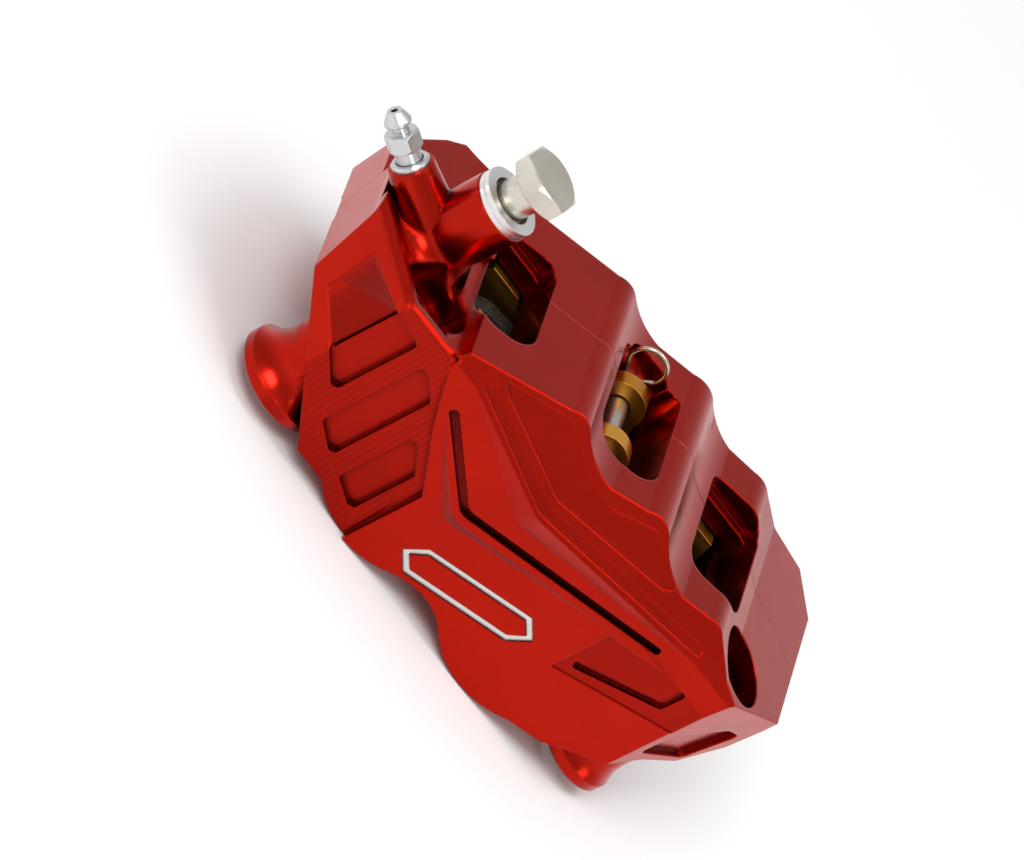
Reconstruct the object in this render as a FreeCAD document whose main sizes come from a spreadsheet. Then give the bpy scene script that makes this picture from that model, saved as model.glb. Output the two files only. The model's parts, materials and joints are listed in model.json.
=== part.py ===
import FreeCAD, Part
import math
import os

import Sketcher

# Radial-mount motorcycle front brake caliper, four pistons, two machined halves bolted together.
# Frame: origin midway between the two mounting feet on their seat plane. +X runs from the hose end
# to the other end, +Y from the outer half towards the wheel, +Z from the feet to the bridge.

V = FreeCAD.Vector
doc = FreeCAD.newDocument("brake_caliper")

SHEET = "Dims"
DIMENSIONS = {
    "mount_pitch": 108.0,  # between the two mounting bolt axes
    "mount_bore": 5.25,  # radius of the mounting holes, for M10
    "head_bore": 8.7,  # radius of the counterbores for the bolt heads
    "head_floor": 35.0,  # height of the counterbore floors
    "foot_left": 12.0,  # radius of the foot at the hose end
    "foot_right": 9.8,  # radius of the other foot
    "parting": 25.0,  # Y of the joint between the halves, the disc's middle plane
    "front": 13.8,  # outer face, in front of the mounting plane
    "wall_step": 1.8,  # the pocketed wall stands back by this much
    "inner_depth": 36.0,  # thickness of the inner half
    "piston_x": 21.5,  # piston centres each side of the middle
    "piston_rise": 19.0,  # height of the piston centres
    "bore": 17.05,  # piston bore radius
    "piston": 16.95,  # piston radius
    "piston_length": 18.0,
    "lobe": 22.5,  # outside radius of the lobes around the bores
    "pad_back": 12.5,  # outer pad's back face, Y
    "plate": 4.5,  # pad backing plate thickness
    "lining": 4.75,  # friction lining thickness
    "cavity": 14.5,  # depth of the pad cavity from the parting face
    "roof": 41.0,  # underside of the bridge
    "disc_drop": 122.0,  # wheel axis below the origin
    "slot_radius": 163.0,  # clears a 320 mm disc
    "slot_half": 4.5,  # half width of the disc slot
    "window_near": 4.0,  # front end of the bridge windows, Y
    "window_far": 38.5,  # rear end of the middle window, Y
    "pin": 2.5,  # pad pin radius
    "pin_x": 1.0,
    "pin_rise": 43.0,
    "boss_x": -58.9,  # hose boss
    "boss_y": 16.5,
    "boss": 8.25,
    "boss_top": 59.8,
    "banjo_bore": 5.1,
    "bolt": 4.0,  # bridge bolt radius, M8
    "bolt_head": 6.5,
    "rib_seat": 45.0,  # Y of the head seats in the ribs between the windows
    "end_seat": 38.0,  # Y of the head seats at the ends
    "bolt_length": 30.0,
    "bolt_rise": 5.0,  # height of a low cap head
    "port_seal": 3.0,  # crossover seal, mean radius
}
sheet = doc.addObject("Spreadsheet::Sheet", SHEET)
for line, (alias, number) in enumerate(DIMENSIONS.items(), 1):
    sheet.set("A%d" % line, alias)
    sheet.set("B%d" % line, str(number))
    sheet.setAlias("B%d" % line, alias)
doc.recompute()


class Size:
    """A linear sum of sheet cells, with its value and its FreeCAD expression."""

    def __init__(self, terms, constant=0.0):
        self.terms = terms
        self.constant = constant

    def value(self):
        return sum(DIMENSIONS[a] * f for a, f in self.terms.items()) + self.constant

    def text(self):
        parts = ["%s.%s * %.6g" % (SHEET, a, f) for a, f in self.terms.items()]
        return " + ".join(parts + ["%.6g" % self.constant]).replace("+ -", "- ")

    def __add__(self, other):
        if not isinstance(other, Size):
            return Size(dict(self.terms), self.constant + other)
        terms = dict(self.terms)
        for alias, factor in other.terms.items():
            terms[alias] = terms.get(alias, 0.0) + factor
        return Size(terms, self.constant + other.constant)

    def __mul__(self, factor):
        return Size({a: f * factor for a, f in self.terms.items()}, self.constant * factor)

    def __neg__(self):
        return self * -1.0

    def __sub__(self, other):
        return self + (-other)


def cell(alias):
    return Size({alias: 1.0})


def num(size):
    return size.value() if isinstance(size, Size) else float(size)


def bind(obj, prop, size):
    """Set a property, through an expression where it comes from the sheet."""
    if isinstance(size, Size):
        obj.setExpression(prop, size.text())
    elif "." not in prop:
        setattr(obj, prop, size)


def body(name):
    made = doc.addObject("PartDesign::Body", name)
    made.Label = name
    return made


def sketch(host, name, plane, offset=(0, 0, 0), turn=None):
    """A sketch on one of the host body's own origin planes, shifted and turned in that plane's frame."""
    made = host.newObject("Sketcher::SketchObject", name)
    support = [f for f in host.Origin.OriginFeatures if f.Role == plane][0]
    made.AttachmentSupport = (support, [""])
    made.MapMode = "FlatFace"
    turned = FreeCAD.Rotation(*turn) if turn else FreeCAD.Rotation()
    made.AttachmentOffset = FreeCAD.Placement(V(*[num(c) for c in offset]), turned)
    for axis, size in zip("xyz", offset):
        bind(made, "AttachmentOffset.Base.%s" % axis, size)
    return made


def fix(made, geo, pos, x, y):
    """Hold one point of a sketch at x, y from its origin."""
    for kind, size in (("DistanceX", x), ("DistanceY", y)):
        index = made.addConstraint(Sketcher.Constraint(kind, -1, 1, geo, pos, num(size)))
        if isinstance(size, Size):
            made.setExpression("Constraints[%d]" % index, size.text())


def loop(made, points):
    """A closed outline. A point with a third entry starts an arc through that entry."""
    first = made.GeometryCount
    count = len(points)
    flat = [V(num(p[0]), num(p[1]), 0) for p in points]
    edges = []
    for i, point in enumerate(points):
        start, end = flat[i], flat[(i + 1) % count]
        if len(point) > 2:
            edges.append(Part.Arc(start, V(point[2][0], point[2][1], 0), end))
        else:
            edges.append(Part.LineSegment(start, end))
    made.addGeometry(edges, False)
    if any(len(p) > 2 for p in points):
        return
    for i, point in enumerate(points):
        made.addConstraint(Sketcher.Constraint(
            "Coincident", first + i, 2, first + (i + 1) % count, 1))
        fix(made, first + i, 1, point[0], point[1])


def circle(made, x, y, radius):
    geo = made.addGeometry(Part.Circle(V(num(x), num(y), 0), V(0, 0, 1), num(radius)), False)
    fix(made, geo, 3, x, y)
    index = made.addConstraint(Sketcher.Constraint("Radius", geo, num(radius)))
    if isinstance(radius, Size):
        made.setExpression("Constraints[%d]" % index, radius.text())


def slot(made, x0, x1, y0, y1, round_):
    """A rectangle with rounded corners."""
    k = round_ * 0.29289
    loop(made, [
        (x0 + round_, y0), (x1 - round_, y0, (x1 - k, y0 + k)),
        (x1, y0 + round_), (x1, y1 - round_, (x1 - k, y1 - k)),
        (x1 - round_, y1), (x0 + round_, y1, (x0 + k, y1 - k)),
        (x0, y1 - round_), (x0, y0 + round_, (x0 + k, y0 + k))])


def corner_arc(before, corner, following, radius):
    """Start, middle and end of the arc that rounds a corner."""
    corner = V(*corner, 0)
    back = (V(*before, 0) - corner).normalize()
    ahead = (V(*following, 0) - corner).normalize()
    half = back.getAngle(ahead) / 2
    reach = radius / math.tan(half)
    bisector = (back + ahead).normalize()
    return (corner + back * reach, corner + bisector * (radius / math.sin(half) - radius),
            corner + ahead * reach)


def eased(made, points, radius):
    """A closed outline with rounded corners. A point's third entry is its own radius; 0 keeps it sharp."""
    outline = []
    for i, point in enumerate(points):
        own = point[2] if len(point) > 2 else radius
        if own:
            arc = corner_arc(points[i - 1][:2], point[:2], points[(i + 1) % len(points)][:2], own)
            outline += [(arc[0].x, arc[0].y, (arc[1].x, arc[1].y)), (arc[2].x, arc[2].y)]
        else:
            outline.append(point[:2])
    loop(made, outline)


def feature(host, kind, name, profile, length=None, **extra):
    """A sketch-based feature; length is bound to the sheet where it comes from it."""
    made = host.newObject("PartDesign::" + kind, name)
    made.Profile = profile
    for prop, setting in extra.items():
        setattr(made, prop, setting)
    if length is not None:
        made.Length = num(length)
        bind(made, "Length", length)
    return made


def cut(host, name, profile, length=None, **extra):
    """A pocket into the material; without a length it goes through all."""
    if length is None:
        extra["Type"] = 1
    return feature(host, "Pocket", name, profile, length, **extra)


def turned(host, kind, name, profile, axis):
    made = host.newObject("PartDesign::" + kind, name)
    made.Profile = profile
    made.ReferenceAxis = (profile, [axis])
    made.Angle = 360
    return made


PITCH = cell("mount_pitch") * 0.5
PX = cell("piston_x")
PZ = cell("piston_rise")
LOBE = cell("lobe")
PARTING = cell("parting")
FRONT = cell("front")

LOW = 0.5  # underside level beside the lobes
LOBE_SPAN = 12.81  # half width of a lobe at that level
NECK_SPAN = 13.0


def underside():
    """Lower outline shared by both halves, from the hose end to the other."""
    left, right = -PX, PX
    return [
        (-75.4, 40.0), (-72.5, 23.5), (-60.0, 15.4), (-43.0, LOW),
        (left - LOBE_SPAN, LOW, (num(left), num(PZ - LOBE))),
        (left + NECK_SPAN, 0.64, (0.0, 3.2)),
        (right - NECK_SPAN, 0.64, (num(right), num(PZ - LOBE))),
        (right + LOBE_SPAN, LOW), (42.0, 3.2), (59.5, 17.0), (67.3, 18.5), (72.0, 27.5), (73.0, 36.5)]


def crest(start):
    """Everything above the saw-toothed bridge top, as an outline to cut away."""
    return start + [
        (-43.5, 46.7), (-18.5, 53.9, (-15.4, 54.8)), (-12.4, 54.0, (-6.5, 51.6)),
        (0.5, 51.0), (10.0, 53.5, (14.0, 54.5)), (17.4, 53.5, (22.5, 50.7)),
        (29.5, 49.2), (37.3, 50.6, (40.6, 50.9)), (43.2, 49.9), (51.0, 46.2),
        (95.0, 35.0), (95.0, 90.0), (-95.0, 90.0)]


BORES = ((-PX, "left"), (PX, "right"))
END_BOLTS = ((-63.5, 32.0), (62.0, 33.5))
RIB_BOLTS = ((-18.5, 45.4), (17.6, 45.4))
PORTS = ((-55.5, 36.3), (54.0, 37.8))
PIN_END = -1.5
PIN_HEAD = 53.0
WINDOWS = ((-45.5, -31.0, 35.0), (-9.4, 9.6, cell("window_far")), (27.6, 46.0, 36.0))


def bore_profile(face, depth, sense):
    """Half section of a piston bore with its two seal grooves, along Y from the cavity wall."""
    b = cell("bore")
    run = [(0.6, 0.0), (0.6, b), (-1.3, b), (-1.3, b + 2.4), (-3.7, b + 2.4), (-3.7, b),
           (-5.6, b), (-5.6, b + 3.0), (-8.8, b + 3.0), (-8.8, b), (-depth, b), (-depth, 0.0)]
    return [(face + y * sense, r) for y, r in run]


def bores(host, tag, face, depth, sense):
    for x, side in BORES:
        profile = sketch(host, "%s_bore_%s" % (tag, side), "YZ_Plane", (0, PZ, x))
        loop(profile, bore_profile(face, depth, sense))
        turned(host, "Groove", "%s_bore_cut_%s" % (tag, side), profile, "H_Axis")


def disc_slot(made):
    """Everything below the arc that clears the disc's edge."""
    drop = cell("disc_drop")
    side = 85.0
    rise = (num(cell("slot_radius")) ** 2 - side ** 2) ** 0.5
    loop(made, [
        (-side, Size({}, rise) - drop, (0.0, num(cell("slot_radius") - drop))),
        (side, Size({}, rise) - drop), (side, -40.0), (-side, -40.0)])


def cavity(made):
    """Outline of the pad cavity seen along Y."""
    loop(made, [(-43.5, 37.5), (-41.5, cell("roof")), (41.5, cell("roof")), (43.5, 37.5),
                (43.5, -20.0), (-43.5, -20.0)])


# ---------------------------------------------------------------- outer half
outer = body("outer_half")
s = sketch(outer, "o_outline", "XZ_Plane", (0, 0, -PARTING))
loop(s, [(-77.0, 62.0), (-77.0, 46.0)] + underside() + [(73.0, 62.0)])
feature(outer, "Pad", "o_block", s, PARTING + FRONT)

s = sketch(outer, "o_wall", "XZ_Plane", (0, 0, FRONT))
loop(s, [(-95.0, 80.0), (-46.0, 80.0), (-46.0, 44.5), (-34.5, 31.0), (-21.0, 18.0),
         (-21.0, -20.0), (-95.0, -20.0)])
cut(outer, "o_wall_cut", s, cell("wall_step"))


def raised(name, near, lean, outline):
    """A raised nose whose underside leans up by lean for each millimetre it stands proud."""
    made = sketch(outer, name + "_outline", "XZ_Plane", (0, 0, near))
    eased(made, outline, 0)
    feature(outer, "Pad", name, made, 11.0, UseCustomVector=True, Direction=V(0, -1, lean),
            AlongSketchNormal=True)


def plane_cut(name, right, length, outline):
    """Trim with an outline in the YZ plane, from x = right over length towards -X."""
    made = sketch(outer, name, "YZ_Plane", (0, 0, right))
    loop(made, outline)
    cut(outer, name + "_cut", made, length)


raised("o_lower_nose", 8.0, 1.4,
       [(-47.0, 39.1), (-34.5, 25.4), (-14.6, 10.4, 4.0), (30.0, 27.0), (54.0, 40.0), (54.0, 58.0),
        (-47.0, 58.0)])
plane_cut("o_lower_slope", 80.0, 130.0, [(-18.65, 10.0), (-5.35, 80.0), (-40.0, 80.0), (-40.0, 10.0)])
raised("o_upper_nose", 10.0, 2.3,
       [(-43.0, 41.7), (-6.0, 22.1, 5.0), (54.0, 42.4), (54.0, 58.0), (-43.0, 58.0)])
plane_cut("o_upper_slope", 80.0, 184.0, [(-24.4, 30.0), (19.35, 80.0), (-40.0, 80.0), (-40.0, 30.0)])

s = sketch(outer, "o_corners", "XY_Plane", (0, 0, 80.0))
loop(s, [(-60.0, -12.0), (-77.0, 7.0), (-95.0, 7.0), (-95.0, -40.0), (-60.0, -40.0)])
loop(s, [(54.0, -13.8), (73.0, 6.3), (95.0, 6.3), (95.0, -40.0), (54.0, -40.0)])
cut(outer, "o_corner_cut", s)

plane_cut("o_rim_bevel", -44.0, 16.0, [(-12.5, 42.1), (-12.5, 44.5), (-10.1, 44.5)])
s = sketch(outer, "o_corner_bevel", "YZ_Plane", (-12.0, 0, -60.0), (V(0, 1, 0), -48.2))
loop(s, [(-0.5, 42.1), (-0.5, 44.5), (1.9, 44.5)])
cut(outer, "o_corner_bevel_cut", s, 26.0)

s = sketch(outer, "o_crest", "XZ_Plane", (0, 0, 40.0))
loop(s, crest([(-95.0, 43.8), (-47.5, 43.8, (-45.2, 44.6))]))
cut(outer, "o_crest_cut", s)



s = sketch(outer, "o_recess", "XY_Plane", (0, 0, 80.0))
loop(s, [(-90.0, 40.0), (-90.0, 10.5), (-76.0, 10.5), (-58.8, -8.7), (-49.0, -8.7), (-49.0, 40.0)])
cut(outer, "o_recess_cut", s, Size({}, 80.0 - 41.8))

s = sketch(outer, "o_boss_section", "XZ_Plane", (cell("boss_x"), 0, -cell("boss_y")))
loop(s, [(0.0, 36.0), (12.0, 36.0), (12.0, 41.8, (9.3, 43.6)), (cell("boss"), 47.5),
         (cell("boss"), cell("boss_top")), (0.0, cell("boss_top"))])
turned(outer, "Revolution", "o_boss", s, "V_Axis")

BLEED_TILT = ((0, 1, 0), -69.02)
LUG_LENGTH = 19.3
s = sketch(outer, "o_lug_section", "XY_Plane", (cell("boss_x"), cell("boss_y"), 41.9),
           (V(*BLEED_TILT[0]), BLEED_TILT[1]))
circle(s, 0, 0, 7.6)
feature(outer, "Pad", "o_lug", s, LUG_LENGTH, TaperAngle=-7.5)
s = sketch(outer, "o_parting", "XZ_Plane", (0, 0, -PARTING))
loop(s, [(-76.0, 30.0), (-44.0, 30.0), (-44.0, 60.0), (-76.0, 60.0)])
cut(outer, "o_parting_cut", s, 10.0)


def foot(name, x, radius, waist, top):
    """Flared mounting foot, turned about its bolt axis."""
    made = sketch(outer, name + "_section", "XZ_Plane", (x, 0, 0))
    loop(made, [(0.0, 0.0), (radius - 0.8, 0.0), (radius, 0.8),
                (radius, 3.2, (num(waist) + 0.55, 6.4)), (waist, top), (waist, 30.0), (0.0, 30.0)])
    turned(outer, "Revolution", name, made, "V_Axis")


foot("o_foot_left", -PITCH, cell("foot_left"), 9.0, 12.5)
foot("o_foot_right", PITCH, cell("foot_right"), 7.8, 10.0)
s = sketch(outer, "o_webs", "XZ_Plane", (0, 0, 7.0))
loop(s, [(-54.0, 4.0), (-46.0, 1.2), (-38.0, 0.8), (-38.0, 18.0), (-54.0, 22.0)])
loop(s, [(54.0, 4.0), (54.0, 22.0), (38.0, 18.0), (38.0, 2.6), (47.0, 3.0)])
feature(outer, "Pad", "o_web", s, 17.0, Reversed=True)

s = sketch(outer, "o_head_bores", "XY_Plane", (0, 0, 80.0))
circle(s, -PITCH, 0, cell("head_bore"))
circle(s, PITCH, 0, cell("head_bore"))
cut(outer, "o_head_bore_cut", s, Size({}, 80.0) - cell("head_floor"))
s = sketch(outer, "o_mount_bores", "XY_Plane", (0, 0, 80.0))
circle(s, -PITCH, 0, cell("mount_bore"))
circle(s, PITCH, 0, cell("mount_bore"))
cut(outer, "o_mount_bore_cut", s)

s = sketch(outer, "o_windows", "XY_Plane", (0, 0, 80.0))
for x0, x1, _ in WINDOWS:
    slot(s, x0, x1, num(cell("window_near")), 45.0, 6.0)
cut(outer, "o_window_cut", s, Size({}, 80.0 - 40.0))

s = sketch(outer, "o_cavity", "XZ_Plane", (0, 0, -PARTING))
cavity(s)
cut(outer, "o_cavity_cut", s, cell("cavity"), Reversed=True)
s = sketch(outer, "o_slot", "XZ_Plane", (0, 0, -PARTING))
disc_slot(s)
cut(outer, "o_slot_cut", s, cell("slot_half"), Reversed=True)
bores(outer, "o", PARTING - cell("cavity"), 16.5, 1.0)

s = sketch(outer, "o_bolt_holes", "XZ_Plane", (0, 0, -PARTING))
for x, z in END_BOLTS + RIB_BOLTS:
    circle(s, x, z, cell("bolt") + 0.05)
cut(outer, "o_bolt_hole_cut", s, 18.0, Reversed=True)
s = sketch(outer, "o_pin_hole", "XZ_Plane", (0, 0, -PARTING))
circle(s, cell("pin_x"), cell("pin_rise"), cell("pin") + 0.05)
cut(outer, "o_pin_hole_cut", s, 27.5, Reversed=True)
s = sketch(outer, "o_seal_seats", "XZ_Plane", (0, 0, -PARTING))
for x, z in PORTS:
    circle(s, x, z, cell("port_seal") + 1.0)
    circle(s, x, z, cell("port_seal") - 1.0)
cut(outer, "o_seal_seat_cut", s, 1.85, Reversed=True)
s = sketch(outer, "o_ports", "XZ_Plane", (0, 0, -PARTING))
for x, z in PORTS:
    circle(s, x, z, 1.5)
cut(outer, "o_port_cut", s, 12.0, Reversed=True)

s = sketch(outer, "o_banjo_hole", "XY_Plane", (0, 0, cell("boss_top")))
circle(s, cell("boss_x"), cell("boss_y"), cell("banjo_bore"))
cut(outer, "o_banjo_hole_cut", s, 22.0)
s = sketch(outer, "o_bleed_hole", "XY_Plane", (cell("boss_x"), cell("boss_y"), 41.9),
           (V(*BLEED_TILT[0]), BLEED_TILT[1]))
circle(s, 0, 0, 3.05)
feature(outer, "Pocket", "o_bleed_hole_cut", s, LUG_LENGTH + 1.0, Reversed=True)

WALL_TURN = (V(0, 1, 0), -48.2)
END_TURN = (V(0, 1, 0), 46.6)
SLOPE_TURN = (V(1, 0, 0), -41.2)
LOWER_TURN = (V(1, 0, 0), -10.76)
LOWER_GROOVE = [(-36.0, -8.9), (-14.6, -21.3, 4.5), (36.5, -6.6), (36.5, -4.7), (-14.2, -19.2, 3.0),
                (-34.6, -7.2)]
UPPER_GROOVE = [(-36.0, -8.0), (-6.2, -15.4, 6.0), (42.0, -7.8), (42.0, -5.7), (-5.9, -12.9, 4.0),
                (-34.0, -5.9)]
MARK = [(-12.5, 6.4), (-7.6, 2.9), (17.4, 12.0), (20.5, 17.2), (15.6, 20.7), (-9.4, 11.6)]
MARK_INSIDE = [(-10.6, 6.9), (-7.4, 4.7), (16.3, 13.3), (18.6, 16.8), (15.4, 19.0), (-8.3, 10.4)]

s = sketch(outer, "o_wall_pockets", "XZ_Plane", (0, 0, FRONT - cell("wall_step")))
eased(s, [(-60.4, 40.0, 0), (-51.2, 38.9), (-51.2, 15.7), (-60.4, 22.0, 0)], 1.3)
eased(s, [(-46.4, 37.7), (-38.4, 32.7), (-38.4, 5.7), (-46.4, 9.7)], 1.3)
eased(s, [(-33.2, 25.7), (-25.2, 18.7), (-25.2, 1.2), (-33.2, 4.2)], 1.3)
cut(outer, "o_wall_pocket_cut", s, 1.5)
s = sketch(outer, "o_corner_pocket", "XZ_Plane", (-60.0, 0, 12.0), WALL_TURN)
eased(s, [(0.4, 40.0, 0), (-15.4, 38.0), (-13.3, 25.4), (0.4, 22.0, 0)], 1.3)
cut(outer, "o_corner_pocket_cut", s, 1.5)
s = sketch(outer, "o_end_step", "XZ_Plane", (0, 0, FRONT))
loop(s, [(27.4, 17.0), (41.0, 23.5), (60.0, 32.5), (60.0, 44.0), (50.0, 40.5), (30.0, 33.6), (27.4, 32.9)])
cut(outer, "o_end_step_cut", s, 0.4)
s = sketch(outer, "o_end_grooves", "XZ_Plane", (0, 0, FRONT))
eased(s, [(29.0, 22.3), (30.2, 20.6), (48.3, 31.0, 1.6), (48.3, 38.0), (46.2, 38.0), (46.2, 32.2)], 0.8)
cut(outer, "o_end_groove_cut", s, 1.7)
s = sketch(outer, "o_end_pocket", "XZ_Plane", (54.0, 0, 13.8), END_TURN)
eased(s, [(3.0, 19.6), (19.0, 20.4), (23.5, 33.0), (17.0, 34.5), (3.0, 29.0)], 1.6)
cut(outer, "o_end_pocket_cut", s, 1.4)
s = sketch(outer, "o_panel", "XZ_Plane", (0, 51.0, 6.0), SLOPE_TURN)
eased(s, [(-33.5, -3.4, 0.5), (-17.5, 2.2), (-12.5, 1.0), (-5.0, -2.4), (4.0, -2.8), (15.0, 2.2),
          (27.5, -2.6, 0.6), (25.0, -4.8, 0.6), (-5.8, -10.6, 3.0), (-31.0, -4.8, 0.5)], 1.6)
cut(outer, "o_panel_cut", s, 1.5)
s = sketch(outer, "o_upper_groove", "XZ_Plane", (0, 51.0, 6.0), SLOPE_TURN)
eased(s, UPPER_GROOVE, 0.9)
cut(outer, "o_upper_groove_cut", s, 2.8)
s = sketch(outer, "o_lower_groove", "XZ_Plane", (0, 45.0, 12.5), LOWER_TURN)
eased(s, LOWER_GROOVE, 0.8)
cut(outer, "o_lower_groove_cut", s, 2.9)
s = sketch(outer, "o_mark", "XZ_Plane", (0, 0, FRONT))
loop(s, MARK)
loop(s, MARK_INSIDE)
cut(outer, "o_mark_cut", s, 0.5)

# ---------------------------------------------------------------- inner half
inner = body("inner_half")
s = sketch(inner, "i_outline", "XZ_Plane", (0, 0, -PARTING))
loop(s, [(-77.0, 62.0), (-77.0, 46.0)] + underside() + [(73.0, 62.0)])
feature(inner, "Pad", "i_block", s, cell("inner_depth"), Reversed=True)
s = sketch(inner, "i_back_slope", "YZ_Plane", (0, 0, 90.0))
loop(s, [(50.0, 80.0), (50.0, 46.0), (61.5, 36.0), (75.0, 36.0), (75.0, 80.0)])
cut(inner, "i_back_slope_cut", s, 180.0)
s = sketch(inner, "i_corners", "XY_Plane", (0, 0, 80.0))
loop(s, [(-95.0, 37.0), (-78.0, 35.0), (-64.0, 52.0), (-52.0, 61.5), (-52.0, 90.0), (-95.0, 90.0)])
loop(s, [(95.0, 46.0), (73.6, 46.0), (62.0, 56.0), (52.0, 61.5), (52.0, 90.0), (95.0, 90.0)])
cut(inner, "i_corner_cut", s)
s = sketch(inner, "i_crest", "XZ_Plane", (0, 0, 0))
loop(s, crest([(-95.0, 33.5), (-56.0, 41.8)]))
cut(inner, "i_crest_cut", s)
s = sketch(inner, "i_windows", "XY_Plane", (0, 0, 80.0))
for x0, x1, far in WINDOWS:
    slot(s, x0, x1, 5.0, num(far), 3.0)
cut(inner, "i_window_cut", s, Size({}, 80.0 - 38.0))
s = sketch(inner, "i_window_lips", "XY_Plane", (0, 0, 80.0))
for x0, x1, far in (WINDOWS[0], WINDOWS[2]):
    slot(s, x0, x1 - 1.0, 5.0, num(far) + 2.6, 3.5)
cut(inner, "i_window_lip_cut", s, Size({}, 80.0 - 45.5))
s = sketch(inner, "i_clip_scallop", "XY_Plane", (0, 0, 80.0))
circle(s, -1.0, 38.0, 6.3)
cut(inner, "i_clip_scallop_cut", s, Size({}, 80.0 - 38.0))
s = sketch(inner, "i_cavity", "XZ_Plane", (0, 0, -PARTING))
cavity(s)
cut(inner, "i_cavity_cut", s, cell("cavity"))
s = sketch(inner, "i_slot", "XZ_Plane", (0, 0, -PARTING))
disc_slot(s)
cut(inner, "i_slot_cut", s, cell("slot_half"))
bores(inner, "i", PARTING + cell("cavity"), 16.5, -1.0)
s = sketch(inner, "i_bolt_holes", "XZ_Plane", (0, 0, -PARTING))
for x, z in END_BOLTS + RIB_BOLTS:
    circle(s, x, z, cell("bolt") + 0.3)
cut(inner, "i_bolt_hole_cut", s)
for tag, seat, places in (("end", cell("end_seat"), END_BOLTS), ("rib", cell("rib_seat"), RIB_BOLTS)):
    s = sketch(inner, "i_%s_seats" % tag, "XZ_Plane", (0, 0, -seat))
    for x, z in places:
        circle(s, x, z, cell("bolt_head") + 0.2)
    cut(inner, "i_%s_seat_cut" % tag, s)
s = sketch(inner, "i_pin_head", "XZ_Plane", (0, 0, -PIN_HEAD))
circle(s, cell("pin_x"), cell("pin_rise"), 4.3)
cut(inner, "i_pin_head_cut", s)
s = sketch(inner, "i_pin_hole", "XZ_Plane", (0, 0, -PARTING))
circle(s, cell("pin_x"), cell("pin_rise"), cell("pin") + 0.05)
cut(inner, "i_pin_hole_cut", s)
s = sketch(inner, "i_ports", "XZ_Plane", (0, 0, -PARTING))
for x, z in PORTS:
    circle(s, x, z, 1.5)
cut(inner, "i_port_cut", s, 12.0)


# ---------------------------------------------------------------- loose pieces
def revolved(name, outline, plane="XZ_Plane", offset=(0, 0, 0), turn=None, axis="V_Axis"):
    """A turned piece from its half section."""
    made = body(name)
    section = sketch(made, name + "_section", plane, offset, turn)
    loop(section, outline)
    turned(made, "Revolution", name + "_turn", section, axis)
    return made


def primitive(kind, name, place, **sizes):
    made = doc.addObject("Part::" + kind, name)
    for prop, size in sizes.items():
        setattr(made, prop, num(size) if isinstance(size, Size) else size)
        bind(made, prop, size)
    made.Placement = place
    return made


def along_y(x, y, z):
    """A placement whose Z axis runs along +Y."""
    return FreeCAD.Placement(V(num(x), num(y), num(z)), FreeCAD.Rotation(V(1, 0, 0), -90))


def joined(kind, name, first, second):
    made = doc.addObject("Part::" + kind, name)
    made.Base = first
    made.Tool = second
    return made


def group(name, pieces):
    made = doc.addObject("Part::Compound", name)
    made.Label = name
    made.Links = pieces
    return made


def ring(name, place, outside, inside, width):
    whole = primitive("Cylinder", name + "_disc", place, Radius=outside, Height=width)
    hole = primitive("Cylinder", name + "_hole", place, Radius=inside, Height=width)
    return joined("Cut", name, whole, hole)


P = cell("piston")
LENGTH = cell("piston_length")
pistons = []
for tag, face, sense in (("outer", cell("pad_back"), 1.0),
                         ("inner", PARTING * 2.0 - cell("pad_back"), -1.0)):
    for x, side in BORES:
        rim = [(face, Size({}, 13.7)), (face, P - 0.8), (face - 0.8 * sense, P),
               (face + LENGTH * -sense + 1.0 * sense, P), (face + LENGTH * -sense, P - 1.0),
               (face + LENGTH * -sense, Size({})), (face - 12.0 * sense, Size({})),
               (face - 12.0 * sense, Size({}, 12.7)), (face - 11.0 * sense, Size({}, 13.7))]
        pistons.append(revolved("piston_%s_%s" % (tag, side), rim, "YZ_Plane", (0, PZ, x), None, "H_Axis"))

B = cell("bore")
seals = {"pressure_seals": [], "dust_seals": []}
for tag, face, sense in (("outer", PARTING - cell("cavity"), 1.0), ("inner", PARTING + cell("cavity"), -1.0)):
    for x, side in BORES:
        for node, near, far, grow in (("pressure_seals", 5.6, 8.8, 3.0), ("dust_seals", 1.3, 3.7, 2.4)):
            start = face - (far if sense > 0 else -near)
            place = along_y(x, start, PZ)
            seals[node].append(ring("%s_%s_%s" % (node[:-1], tag, side), place, B + grow - 0.01,
                                    P + 0.01, far - near))
seal_groups = [group(node, rings) for node, rings in seals.items()]

port_rings = []
for number, (x, z) in enumerate(PORTS, 1):
    torus = primitive("Torus", "crossover_seal_%d" % number, along_y(x, PARTING - 0.92, z),
                      Radius1=cell("port_seal"), Radius2=0.91)
    port_rings.append(torus)
crossover = group("crossover_seals", port_rings)

screws = []
seats = [(x, cell("end_seat"), z) for x, z in END_BOLTS] + [(x, cell("rib_seat"), z) for x, z in RIB_BOLTS]
for number, (x, seat, z) in enumerate(seats, 1):
    tag = "bridge_bolt_%d" % number
    shank = primitive("Cylinder", tag + "_shank", along_y(x, seat - cell("bolt_length"), z),
                      Radius=cell("bolt"), Height=cell("bolt_length"))
    head = primitive("Cylinder", tag + "_head", along_y(x, seat, z), Radius=cell("bolt_head"),
                     Height=cell("bolt_rise"))
    key = primitive("Prism", tag + "_key", along_y(x, seat + 2.0, z), Polygon=6, Circumradius=2.89,
                    Height=3.5)
    screws.append(joined("Cut", tag, joined("Fuse", tag + "_blank", shank, head), key))
bolts = group("bridge_bolts", screws)

EAR = 6.3


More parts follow.
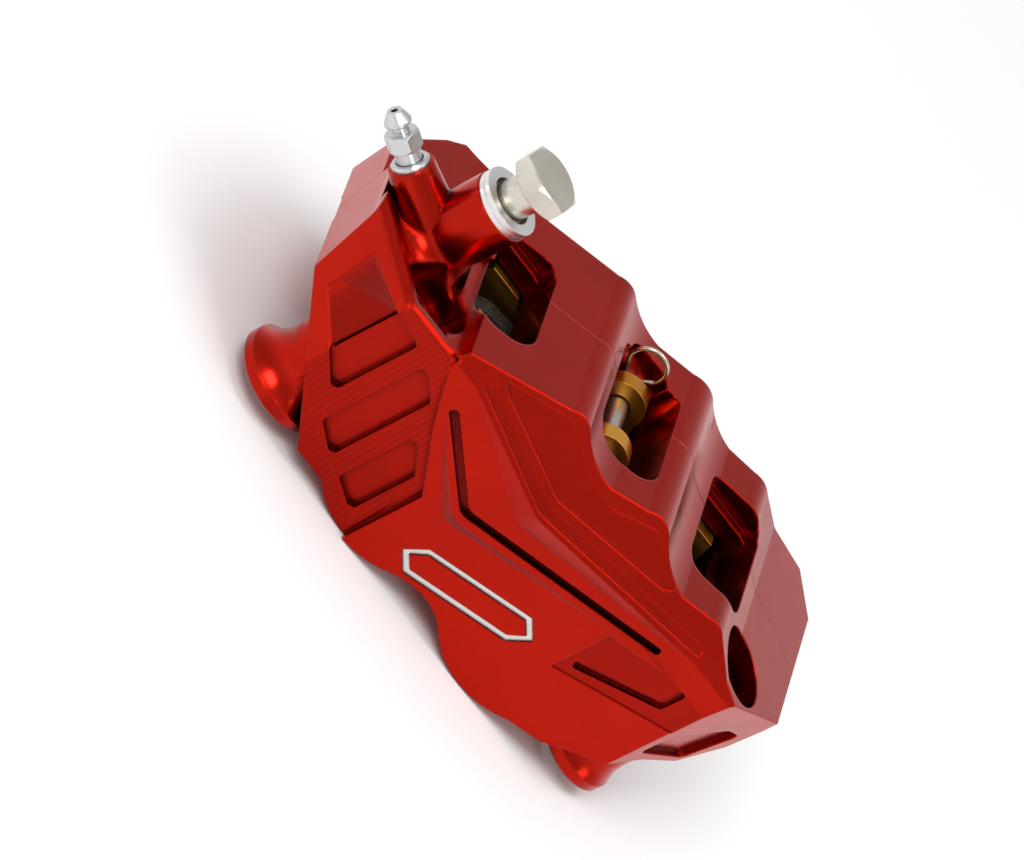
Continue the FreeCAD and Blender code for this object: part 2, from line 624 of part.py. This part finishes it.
def plate_outline(made):
    """Pad backing plate: an ear for the pin, a shoulder in each end window."""
    x = num(cell("pin_x"))
    z = num(cell("pin_rise"))
    loop(made, [
        (-42.5, 6.0), (-36.0, 1.5, (0.0, 4.6)), (36.0, 1.5), (42.5, 6.0), (42.5, 33.0), (40.5, 40.2),
        (31.5, 40.2), (29.5, 38.0), (9.5, 38.0), (x + EAR, z, (x, z + EAR)), (x - EAR, z), (-7.5, 38.0),
        (-29.5, 38.0), (-31.5, 40.2), (-40.5, 40.2), (-42.5, 33.0)])
    circle(made, cell("pin_x"), cell("pin_rise"), cell("pin") + 0.45)


def lining_outline(made):
    loop(made, [(-40.5, 6.5), (-35.0, 3.0, (0.0, 5.8)), (35.0, 3.0), (40.5, 6.5), (40.5, 31.0),
                (34.0, 34.6, (0.0, 36.6)), (-34.0, 34.6), (-40.5, 31.0)])
    loop(made, [(-1.1, 10.0), (1.1, 10.0), (1.1, 32.0), (-1.1, 32.0)])


pads = []
for tag, back, sense in (("outer", cell("pad_back"), 1.0), ("inner", PARTING * 2.0 - cell("pad_back"), -1.0)):
    plate = body(tag + "_pad_plate")
    s = sketch(plate, tag + "_plate_outline", "XZ_Plane", (0, 0, -back))
    plate_outline(s)
    feature(plate, "Pad", tag + "_plate_pad", s, cell("plate"), Reversed=sense > 0)
    pads.append(plate)
    lining = body(tag + "_pad_lining")
    s = sketch(lining, tag + "_lining_outline", "XZ_Plane", (0, 0, -back - cell("plate") * sense))
    lining_outline(s)
    feature(lining, "Pad", tag + "_lining_pad", s, cell("lining"), Reversed=sense > 0)
    pads.append(lining)

pin = revolved("pad_pin", [(PIN_END, 0.0), (PIN_END, cell("pin") - 0.6), (PIN_END + 0.6, cell("pin")),
                           (PIN_HEAD, cell("pin")), (PIN_HEAD, 4.0), (PIN_HEAD + 3.0, 4.0),
                           (PIN_HEAD + 3.6, 3.4), (PIN_HEAD + 3.6, 0.0)],
               "YZ_Plane", (0, cell("pin_rise"), cell("pin_x")), None, "H_Axis")
CLIP_Y = 40.0
s = sketch(pin, "pin_cross_hole", "XY_Plane", (0, 0, 60.0))
circle(s, cell("pin_x"), CLIP_Y, 0.62)
cut(pin, "pin_cross_hole_cut", s)

WIRE = 0.55
clip = body("pin_clip")
s = sketch(clip, "clip_path", "XZ_Plane", (0, 0, -CLIP_Y))
BENDS = [((1.0, 39.0), 0), ((1.0, 46.8), 1.5), ((3.4, 50.0), 1.5), ((3.4, 55.4), 4.2), ((-5.4, 55.4), 4.2),
         ((-5.4, 50.0), 1.5), ((-2.5, 46.2), 1.5), ((-2.5, 40.4), 0)]
tangents = [corner_arc(before, corner, following, radius)
            for (before, _), (corner, radius), (following, _) in zip(BENDS, BENDS[1:], BENDS[2:])]
path = [Part.LineSegment(V(1.0, 39.0, 0), tangents[0][0])]
for arc, following in zip(tangents, tangents[1:] + [(V(-2.5, 40.4, 0),)]):
    path.append(Part.Arc(*arc))
    path.append(Part.LineSegment(arc[2], following[0]))
s.addGeometry(path, False)
section = sketch(clip, "clip_section", "XY_Plane", (1.0, CLIP_Y, 39.0))
circle(section, 0, 0, WIRE)
sweep = clip.newObject("PartDesign::AdditivePipe", "clip_wire")
sweep.Profile = section
sweep.Spine = (s, [])

WASHER = 1.3
TOP = cell("boss_top")
washers = []
for number, node in enumerate(("lower_washer", "upper_washer")):
    low = TOP + WASHER * number
    washers.append(revolved(node, [(5.5, low), (8.0, low), (8.0, low + WASHER), (5.5, low + WASHER)],
                            "XZ_Plane", (cell("boss_x"), 0, -cell("boss_y"))))

STAND = 6.4
HEAD = TOP + WASHER * 2 + STAND
banjo = revolved("banjo_bolt", [
    (1.6, TOP - 14.0), (4.2, TOP - 14.0), (4.9, TOP - 13.2), (4.9, TOP + 1.5), (4.5, TOP + 2.0),
    (4.5, HEAD - 0.6),
    (5.2, HEAD), (6.9, HEAD), (8.08, HEAD + 0.7), (8.08, HEAD + 4.2), (6.6, HEAD + 5.0), (0.0, HEAD + 5.0),
    (0.0, HEAD - 2.0), (1.6, HEAD - 3.0)], "XZ_Plane", (cell("boss_x"), 0, -cell("boss_y")))
s = sketch(banjo, "banjo_flats", "XY_Plane", (cell("boss_x"), cell("boss_y"), HEAD + 9.0), (V(0, 0, 1), 12.0))
corner = 7.0 / 0.866025
hexagon = [(corner, 0.0), (corner / 2, 7.0), (-corner / 2, 7.0), (-corner, 0.0), (-corner / 2, -7.0),
           (corner / 2, -7.0)]
loop(s, hexagon)
circle(s, 0, 0, 12.0)
cut(banjo, "banjo_flat_cut", s, 9.0)

SEAT = LUG_LENGTH
BLEED = (cell("boss_x"), cell("boss_y"), 41.9)
TILT_SECTION = (V(0, 0, 1), 69.02)


def along_bleed(name, outline):
    """A piece turned about the bleed axis, measured from the boss axis."""
    return revolved(name, outline, "XZ_Plane", (cell("boss_x"), 41.9, -cell("boss_y")), TILT_SECTION)


bleed_washer = along_bleed("bleed_washer", [(3.1, SEAT), (4.3, SEAT), (4.3, SEAT + 0.7), (3.9, SEAT + 1.2),
                                            (3.1, SEAT + 1.2)])
bleeder = along_bleed("bleed_screw", [
    (0.8, SEAT - 12.0), (1.4, SEAT - 12.0), (2.9, SEAT - 9.5), (2.9, SEAT + 3.8), (3.6, SEAT + 4.1),
    (4.04, SEAT + 4.7), (4.04, SEAT + 7.6), (3.4, SEAT + 8.2), (1.9, SEAT + 8.2), (1.9, SEAT + 9.6),
    (2.3, SEAT + 10.0), (3.0, SEAT + 10.3), (3.0, SEAT + 10.9), (1.7, SEAT + 13.3), (0.8, SEAT + 13.3)])
s = sketch(bleeder, "bleed_flats", "XY_Plane", (cell("boss_x"), cell("boss_y"), 41.9), (V(0, 1, 0), -69.02))
s.AttachmentOffset = FreeCAD.Placement(
    s.AttachmentOffset.Base + V(-0.93376, 0, 0.35790) * (SEAT + 4.0), s.AttachmentOffset.Rotation)
for axis in "xyz":
    s.setExpression("AttachmentOffset.Base.%s" % axis, None)
across = 3.5
corner = across / 0.866025
loop(s, [(corner, 0.0), (corner / 2, across), (-corner / 2, across), (-corner, 0.0), (-corner / 2, -across),
         (corner / 2, -across)])
circle(s, 0, 0, 6.0)
cut(bleeder, "bleed_flat_cut", s, 4.3, Reversed=True)

NODES = [outer, inner] + pistons + seal_groups + [crossover, bolts] + pads + [pin, clip] + washers + \
    [banjo, bleed_washer, bleeder]
doc.recompute()
failed = [o.Name for o in doc.Objects if "Invalid" in o.State or "Error" in o.State]
failed += [n.Label for n in NODES if n.Shape.isNull() or not n.Shape.isValid() or not n.Shape.Solids]
if failed:
    raise SystemExit("failed: " + ", ".join(failed))
os.makedirs("parts", exist_ok=True)
for node in NODES:
    print(node.Label, len(node.Shape.Solids), round(node.Shape.Volume, 1))
    node.Shape.exportStep("parts/%s.step" % node.Label)
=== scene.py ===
import json
import math

import bpy
from mathutils import Matrix, Vector


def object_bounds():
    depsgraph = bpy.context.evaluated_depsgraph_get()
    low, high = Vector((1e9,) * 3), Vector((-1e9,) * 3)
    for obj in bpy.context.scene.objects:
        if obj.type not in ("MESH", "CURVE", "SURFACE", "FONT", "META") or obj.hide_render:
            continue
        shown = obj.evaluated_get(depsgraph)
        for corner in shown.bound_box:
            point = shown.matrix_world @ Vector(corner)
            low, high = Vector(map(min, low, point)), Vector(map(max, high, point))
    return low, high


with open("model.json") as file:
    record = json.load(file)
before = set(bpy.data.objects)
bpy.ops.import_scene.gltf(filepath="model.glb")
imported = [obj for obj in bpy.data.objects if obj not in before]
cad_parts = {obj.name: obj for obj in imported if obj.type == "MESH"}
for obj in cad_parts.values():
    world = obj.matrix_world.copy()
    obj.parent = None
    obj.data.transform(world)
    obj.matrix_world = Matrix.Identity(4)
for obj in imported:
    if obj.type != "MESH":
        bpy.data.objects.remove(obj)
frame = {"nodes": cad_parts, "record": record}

MM = 0.001
CAD_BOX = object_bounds()

# ------------------------------------------------------------------ camera
RIGHT = Vector((0.579, 0.190, 0.793)).normalized()
BACK = Vector((-0.3535, -0.818, 0.454)).normalized()
UP = BACK.cross(RIGHT).normalized()
DISTANCE = 2.0
LENS = 329.0
SENSOR = 36.0
AIM = RIGHT * 0.0185 + UP * 0.0295

# ------------------------------------------------------------------ zones of the two halves
# Each side is (low, high, fade) in mm.
WALL = {"x": (-76.5, -21.2, 0.2), "y": (-12.06, 7.2, 0.05), "z": (-4.0, 42.1, 0.3)}
POCKET_FLOOR = {"y": (-10.6, -10.4, 0.1)}
END_STEP = {"y": (-13.45, -13.35, 0.04), "x": (27.2, 54.5, 0.1)}
WALL_RIDGE = {"x": (-77.5, -44.0, 2.0), "z": (41.5, 44.5, 0.5), "y": (-13.5, 10.5, 1.0)}
RING = {"x": (-13.5, 21.5, 0.1), "z": (2.2, 21.4, 0.1), "y": (-13.42, -13.1, 0.05)}
DISC_SPACE = {"x": (-46.4, 46.4, 0.2), "y": (3.8, 44.5, 0.2)}

# Heights in mm at which the painted shade is full and gone, inside the disc space and on the
# plates.
DISC_SPACE_SHADE = (40.5, 47.0)
PLATE_SHADE = (37.5, 41.5)

# Cutter lines: spacing in mm, and how far they lean from upright.
COARSE_CUT = 1.3
FINE_CUT = 0.5
CUT_LEAN = 0.08

EDGE = 0.7
RIDGE_EDGE = 2.0
# Reach in mm of the painted shade in coves.
COVE_SHADE_REACH = 3.0

DEEP_RED = (0.22, 0.0045, 0.0015)
BRIGHT_RED = (0.50, 0.011, 0.003)
# Painted shade colour for coves and creases.
COVE_SHADE_RED = (0.035, 0.0006, 0.0004)
# Painted shade colour for the inside of the disc space.
DEEP_SHADE_RED = (0.012, 0.002, 0.0015)
BARE_ALLOY = (0.74, 0.73, 0.71)


def make_camera():
    data = bpy.data.cameras.new("camera")
    data.lens = LENS
    data.sensor_width = SENSOR
    data.clip_start = 0.05
    data.clip_end = 50.0
    camera = bpy.data.objects.new("camera", data)
    bpy.context.scene.collection.objects.link(camera)
    right = UP.cross(BACK)
    turn = Matrix((right, UP, BACK)).transposed().to_4x4()
    camera.matrix_world = Matrix.Translation(AIM + BACK * DISTANCE) @ turn
    bpy.context.scene.camera = camera


# ------------------------------------------------------------------ node helpers
class Nodes:
    """Short calls for building one material's node tree."""

    def __init__(self, name):
        self.material = bpy.data.materials.new(name)
        self.material.use_nodes = True
        self.tree = self.material.node_tree
        self.shader = self.tree.nodes["Principled BSDF"]
        coords = self.tree.nodes.new("ShaderNodeTexCoord")
        self.place = coords.outputs["Object"]
        split = self.tree.nodes.new("ShaderNodeSeparateXYZ")
        self.link(self.place, split.inputs[0])
        self.x, self.y, self.z = split.outputs

    def link(self, a, b):
        self.tree.links.new(a, b)

    def give(self, socket, value):
        """Link a socket's value, or set a plain one."""
        if hasattr(value, "is_linked"):
            self.link(value, socket)
        else:
            socket.default_value = value

    def math(self, kind, a, b, clamp=False):
        node = self.tree.nodes.new("ShaderNodeMath")
        node.operation = kind
        node.use_clamp = clamp
        self.give(node.inputs[0], a)
        self.give(node.inputs[1], b)
        return node.outputs[0]

    def times(self, a, b):
        return self.math("MULTIPLY", a, b)

    def plus(self, a, b):
        return self.math("ADD", a, b)

    def wave(self, value, pitch):
        """Sine of value with the given spacing in mm."""
        return self.math("SINE", self.times(value, 2.0 * math.pi / (pitch * MM)), 0.0)

    def noise(self, scale, detail=3.0, rough=0.5, place=None):
        node = self.tree.nodes.new("ShaderNodeTexNoise")
        node.inputs["Scale"].default_value = scale
        node.inputs["Detail"].default_value = detail
        node.inputs["Roughness"].default_value = rough
        self.link(place or self.place, node.inputs["Vector"])
        return node.outputs["Fac"]

    def stretch(self, sx, sy, sz):
        node = self.tree.nodes.new("ShaderNodeMapping")
        node.inputs["Scale"].default_value = (sx, sy, sz)
        self.link(self.place, node.inputs["Vector"])
        return node.outputs["Vector"]

    def ramp(self, fac, low, high, colours):
        node = self.tree.nodes.new("ShaderNodeValToRGB")
        node.color_ramp.elements[0].position = low
        node.color_ramp.elements[1].position = high
        for element, colour in zip(node.color_ramp.elements, colours):
            element.color = (*colour, 1.0)
        self.link(fac, node.inputs["Fac"])
        return node.outputs["Color"]

    def spread(self, fac, low, high, to_low, to_high):
        node = self.tree.nodes.new("ShaderNodeMapRange")
        for socket, value in zip(node.inputs[1:5], (low, high, to_low, to_high)):
            socket.default_value = value
        self.link(fac, node.inputs["Value"])
        return node.outputs["Result"]

    def within(self, value, low, high, soft):
        """1 between low and high, falling to 0 over soft."""
        up = self.spread(value, low - soft, low, 0.0, 1.0)
        down = self.spread(value, high, high + soft, 1.0, 0.0)
        return self.times(up, down)

    def zone(self, sides):
        """1 inside the sides of a zone, 0 outside."""
        inside = None
        for axis, (low, high, fade) in sides.items():
            side = self.within(getattr(self, axis), low * MM, high * MM, fade * MM)
            inside = side if inside is None else self.times(inside, side)
        return inside

    def bump(self, height, distance, strength=1.0, normal=None):
        node = self.tree.nodes.new("ShaderNodeBump")
        node.inputs["Strength"].default_value = strength
        node.inputs["Distance"].default_value = distance
        self.link(height, node.inputs["Height"])
        if normal is not None:
            self.link(normal, node.inputs["Normal"])
        return node.outputs["Normal"]

    def mix(self, fac, colour, other):
        node = self.tree.nodes.new("ShaderNodeMix")
        node.data_type = "RGBA"
        self.link(fac, node.inputs["Factor"])
        self.link(colour, node.inputs["A"])
        node.inputs["B"].default_value = (*other, 1.0)
        return node.outputs["Result"]

    def soft_edges(self, radius):
        """A normal that rounds each edge by radius."""
        node = self.tree.nodes.new("ShaderNodeBevel")
        node.samples = 6
        self.give(node.inputs["Radius"], radius)
        return node.outputs["Normal"]

    def shelter(self, distance):
        """Ambient occlusion: 1 in the open, less in a cove."""
        node = self.tree.nodes.new("ShaderNodeAmbientOcclusion")
        node.samples = 8
        node.only_local = True
        node.inputs["Distance"].default_value = distance
        return node.outputs["AO"]

    def true_normal(self):
        """X, Y and Z of the face's own normal."""
        geometry = self.tree.nodes.new("ShaderNodeNewGeometry")
        split = self.tree.nodes.new("ShaderNodeSeparateXYZ")
        self.link(geometry.outputs["True Normal"], split.inputs[0])
        return split.outputs

    def set(self, **values):
        for name, value in values.items():
            self.shader.inputs[name.replace("_", " ")].default_value = value

    def feed(self, **outputs):
        for name, output in outputs.items():
            self.link(output, self.shader.inputs[name.replace("_", " ")])
        return self.material


# ------------------------------------------------------------------ materials
def cut_faces(m):
    """Masks of the pocketed wall, its pocket floors and the step at the right end."""
    facing = m.math("LESS_THAN", m.true_normal()[1], -0.97)
    wall = m.times(m.zone(WALL), facing)
    return wall, m.zone(POCKET_FLOOR), m.zone(END_STEP)


def cutter_lines(m, wall, floor, step):
    """Height of the milling lines: coarse on the wall, fine on its floors and on the step."""
    wavy = m.plus(m.x, m.times(m.z, CUT_LEAN))
    coarse = m.times(m.wave(wavy, COARSE_CUT), m.math("SUBTRACT", wall, floor, clamp=True))
    fine = m.times(m.wave(wavy, FINE_CUT), m.math("MAXIMUM", m.times(floor, wall), step))
    return m.plus(coarse, m.times(fine, 0.5))


def anodised():
    """Clear red anodising over machined aluminium, with cutter lines on the pocketed wall,
    painted shade in coves and creases, and painted shade inside the disc space.
    """
    m = Nodes("anodised_red")
    m.set(Metallic=1.0, Coat_Weight=0.08, Coat_Roughness=0.14)
    wall, floor, step = cut_faces(m)
    height = cutter_lines(m, wall, floor, step)

    tone = m.plus(m.times(m.noise(38.0, 4.0), 0.4), m.times(height, 0.07))
    cut = m.times(m.math("MAXIMUM", wall, step), 0.2)
    tone = m.math("SUBTRACT", m.plus(tone, 0.45), cut)
    colour = m.ramp(tone, 0.2, 0.8, (DEEP_RED, BRIGHT_RED))
    colour = m.mix(m.zone(RING), colour, BARE_ALLOY)
    # Painted shade: by ambient occlusion, the colour darkens towards a near-black red in coves
    # and creases.
    cove = m.spread(m.shelter(COVE_SHADE_REACH * MM), 0.30, 0.88, 1.0, 0.0)
    colour = m.mix(cove, colour, COVE_SHADE_RED)

    # Painted shade: inside the disc space, the colour darkens to a near-black red below the
    # window rims, and the roughness rises there too.
    full, gone = DISC_SPACE_SHADE
    depth_shade = m.times(m.zone(DISC_SPACE), m.spread(m.z, full * MM, gone * MM, 1.0, 0.0))
    colour = m.mix(m.times(depth_shade, 0.9), colour, DEEP_SHADE_RED)
    rough = m.spread(m.noise(140.0, 5.0, 0.6), 0.3, 0.7, 0.19, 0.27)
    rough = m.plus(rough, m.times(depth_shade, 0.3))

    radius = m.spread(m.zone(WALL_RIDGE), 0.0, 1.0, EDGE * MM, RIDGE_EDGE * MM)
    normal = m.bump(height, 0.02 * MM, 1.0, m.soft_edges(radius))
    normal = m.bump(m.noise(900.0, 2.0), 0.004 * MM, 0.5, normal)
    return m.feed(Base_Color=colour, Roughness=rough, Normal=normal)


def metal(name, dark, light, rough_low, rough_high, grain=(1.0, 1.0, 1.0), depth=0.01):
    """Bare or plated metal with a fine directional grain, depth mm deep."""
    m = Nodes(name)
    grit = m.noise(220.0, 4.0, 0.6, m.stretch(*grain))
    cloud = m.noise(60.0, 3.0)
    m.set(Metallic=1.0)
    colour = m.ramp(cloud, 0.3, 0.7, (dark, light))
    rough = m.spread(grit, 0.3, 0.7, rough_low, rough_high)
    normal = m.bump(grit, depth * MM, 0.6, m.soft_edges(0.25 * MM))
    return m.feed(Base_Color=colour, Roughness=rough, Normal=normal)


def shaded_zinc():
    """Yellow zinc plating, clean on the ears and darkened by painted shade below them, where the
    plates sit inside the caliper.
    """
    m = Nodes("zinc_plate")
    grit = m.noise(260.0, 4.0, 0.6)
    colour = m.ramp(m.noise(70.0, 3.0), 0.3, 0.7, ((0.62, 0.27, 0.03), (0.80, 0.40, 0.06)))
    # Painted shade: the plates darken below an uneven line under the ears, and the roughness
    # rises there too.
    full, gone = PLATE_SHADE
    uneven = m.plus(m.z, m.times(m.noise(300.0), 2.0 * MM))
    depth_shade = m.spread(uneven, full * MM, gone * MM, 0.93, 0.0)
    colour = m.mix(depth_shade, colour, (0.05, 0.022, 0.006))
    rough = m.plus(m.spread(grit, 0.3, 0.7, 0.28, 0.42), m.times(depth_shade, 0.3))
    m.set(Metallic=1.0)
    normal = m.bump(grit, 0.008 * MM, 0.6, m.soft_edges(0.3 * MM))
    return m.feed(Base_Color=colour, Roughness=rough, Normal=normal)


def friction():
    """Sintered lining: dark grains with bright metal specks."""
    m = Nodes("friction")
    grains = m.noise(1400.0, 4.0, 0.7)
    colour = m.ramp(grains, 0.45, 0.75, ((0.018, 0.015, 0.013), (0.16, 0.12, 0.09)))
    rough = m.spread(grains, 0.3, 0.7, 0.9, 0.55)
    return m.feed(Base_Color=colour, Roughness=rough, Normal=m.bump(grains, 0.08 * MM, 0.8))


def rubber():
    """Black seal rubber with a fine grain."""
    m = Nodes("seal_rubber")
    grains = m.noise(500.0, 3.0)
    colour = m.ramp(grains, 0.3, 0.7, ((0.012, 0.012, 0.012), (0.03, 0.03, 0.03)))
    rough = m.spread(grains, 0.3, 0.7, 0.5, 0.7)
    return m.feed(Base_Color=colour, Roughness=rough, Normal=m.bump(grains, 0.01 * MM, 0.5))


# Plain metals: dark and light colour, lowest and highest roughness, and the grain.
METALS = {
    "black_oxide": ((0.02, 0.02, 0.022), (0.05, 0.05, 0.052), 0.35, 0.5),
    "piston_metal": ((0.30, 0.29, 0.25), (0.40, 0.38, 0.33), 0.25, 0.38, (1.0, 30.0, 1.0)),
    "pin_steel": ((0.45, 0.45, 0.46), (0.6, 0.6, 0.6), 0.28, 0.42, (1.0, 12.0, 1.0)),
    "spring_wire": ((0.5, 0.46, 0.38), (0.68, 0.64, 0.55), 0.2, 0.3),
    "washer_alloy": ((0.68, 0.68, 0.67), (0.82, 0.82, 0.81), 0.28, 0.4),
    "banjo_steel": ((0.58, 0.53, 0.46), (0.70, 0.66, 0.58), 0.22, 0.34, (1.0, 1.0, 14.0), 0.003),
    "nipple_zinc": ((0.50, 0.51, 0.52), (0.64, 0.65, 0.66), 0.24, 0.36),
}

MATERIALS = {name: metal(name, *look) for name, look in METALS.items()}
MATERIALS.update({
    "anodised_red": anodised(),
    "seal_rubber": rubber(),
    "zinc_plate": shaded_zinc(),
    "friction": friction(),
})


def paint_nodes():
    for part in frame["record"]["subparts"]:
        mesh = frame["nodes"][part["node"]].data
        material = MATERIALS[part["material_slot"]]
        if not mesh.materials:
            mesh.materials.append(material)
        for index in range(len(mesh.materials)):
            mesh.materials[index] = material


# ------------------------------------------------------------------ studio
# World brightness at each height of the sky, 0 at the horizon and 1 overhead.
SKY = ((0.0, 1.0), (1.0, 0.85), (0.14, 0.95), (0.45, 0.62))
SKY_STRENGTH = 0.9
LIGHT_AIM = Vector((0.0, 0.02, 0.03))
FLOOR_REACH = 6.0
FLOOR_GAP = 0.3


def make_sky():
    world = bpy.data.worlds.new("studio")
    world.use_nodes = True
    tree = world.node_tree
    coords = tree.nodes.new("ShaderNodeTexCoord")
    split = tree.nodes.new("ShaderNodeSeparateXYZ")
    sky = tree.nodes.new("ShaderNodeValToRGB")
    stops = sky.color_ramp.elements
    for index, (height, grey) in enumerate(SKY):
        stop = stops[index] if index < 2 else stops.new(height)
        stop.position = height
        stop.color = (grey, grey, grey, 1.0)
    tree.links.new(coords.outputs["Generated"], split.inputs[0])
    tree.links.new(split.outputs[2], sky.inputs["Fac"])
    tree.links.new(sky.outputs["Color"], tree.nodes["Background"].inputs["Color"])
    tree.nodes["Background"].inputs["Strength"].default_value = SKY_STRENGTH
    bpy.context.scene.world = world


def make_floor():
    height = CAD_BOX[0][2] - FLOOR_GAP * MM
    corners = [(FLOOR_REACH * x, FLOOR_REACH * y, height)
               for x, y in ((-1, -1), (1, -1), (1, 1), (-1, 1))]
    mesh = bpy.data.meshes.new("floor")
    mesh.from_pydata(corners, [], [(0, 1, 2, 3)])
    floor = bpy.data.objects.new("floor", mesh)
    bpy.context.scene.collection.objects.link(floor)
    m = Nodes("floor_paper")
    m.set(Roughness=0.9)
    colour = m.ramp(m.noise(3.0, 2.0), 0.2, 0.8, ((0.93, 0.93, 0.93), (0.96, 0.96, 0.96)))
    mesh.materials.append(m.feed(Base_Color=colour))


def area(name, place, size, power):
    """A square lamp at place, turned towards the object."""
    data = bpy.data.lights.new(name, "AREA")
    data.size = size
    data.energy = power
    lamp = bpy.data.objects.new(name, data)
    bpy.context.scene.collection.objects.link(lamp)
    lamp.location = place
    lamp.rotation_euler = (LIGHT_AIM - Vector(place)).to_track_quat("-Z", "Y").to_euler()


make_camera()
paint_nodes()
make_sky()
make_floor()
area("key", (-0.7, -0.8, 1.1), 0.6, 9.0)
area("top", (0.3, -0.2, 1.4), 0.7, 5.0)
area("fill", (0.9, -0.9, 0.5), 0.5, 1.5)
bpy.context.scene.view_settings.view_transform = "Standard"
